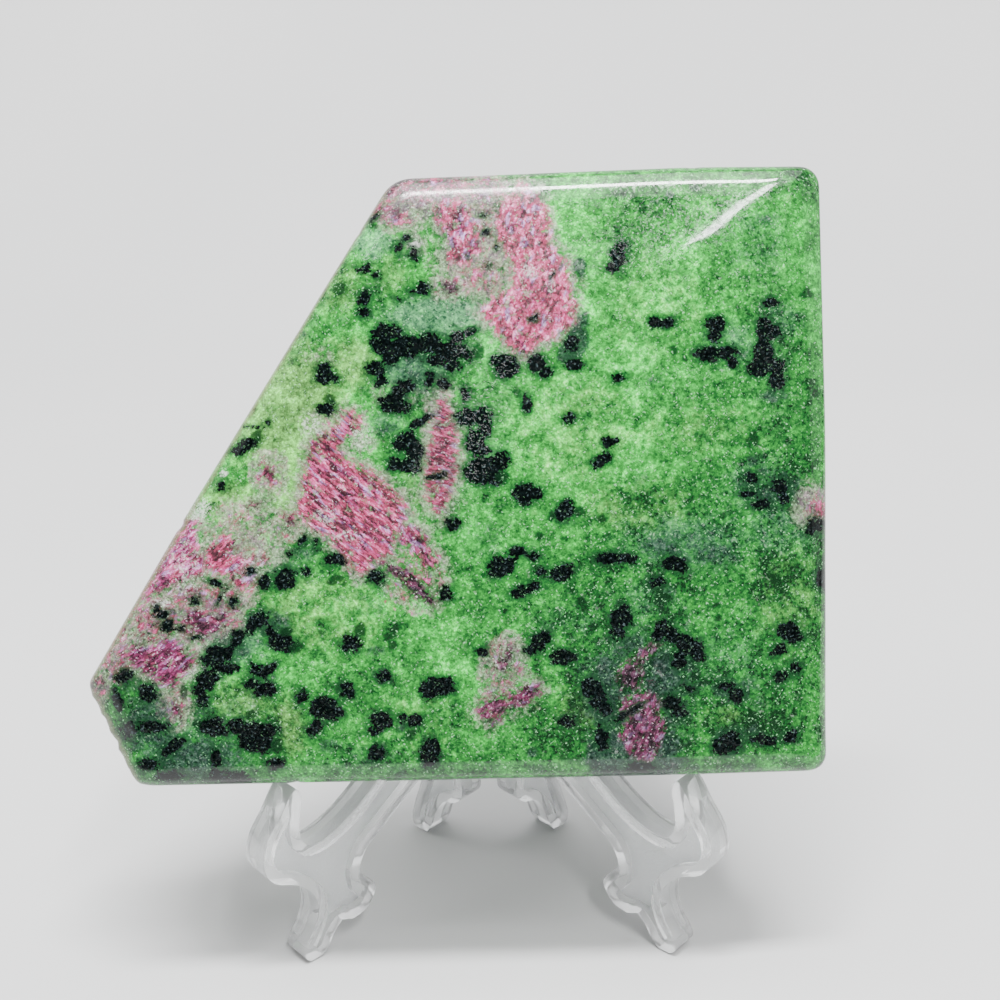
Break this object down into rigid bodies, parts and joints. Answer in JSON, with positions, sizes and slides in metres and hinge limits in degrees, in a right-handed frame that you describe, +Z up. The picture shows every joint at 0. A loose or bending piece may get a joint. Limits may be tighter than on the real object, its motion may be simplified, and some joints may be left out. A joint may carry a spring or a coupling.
{
  "type": "ruby epidote slice on a clear easel",
  "caption": "Thick polished slab of green epidote rock with ruby patches and dark spots, leaning back on a clear plastic easel.",
  "frame": {"origin": "on the ground, under the middle of the bounding box", "axes": "+Z up, +X to the viewer's right, the stone's front face towards -Y, leaning back towards +Y"},
  "size_m": [0.0886, 0.0376, 0.0955],
  "materials": {
    "polished_stone": "polished granular green rock with ruby patches and black hornblende spots",
    "clear_plastic": "clear injection-moulded plastic, glossy rims round a finely frosted web"
  },
  "bodies": {
    "root": {"stone_slab": "polished_stone", "stand_frame_left": "clear_plastic", "stand_frame_right": "clear_plastic"}
  },
  "joints": []
}
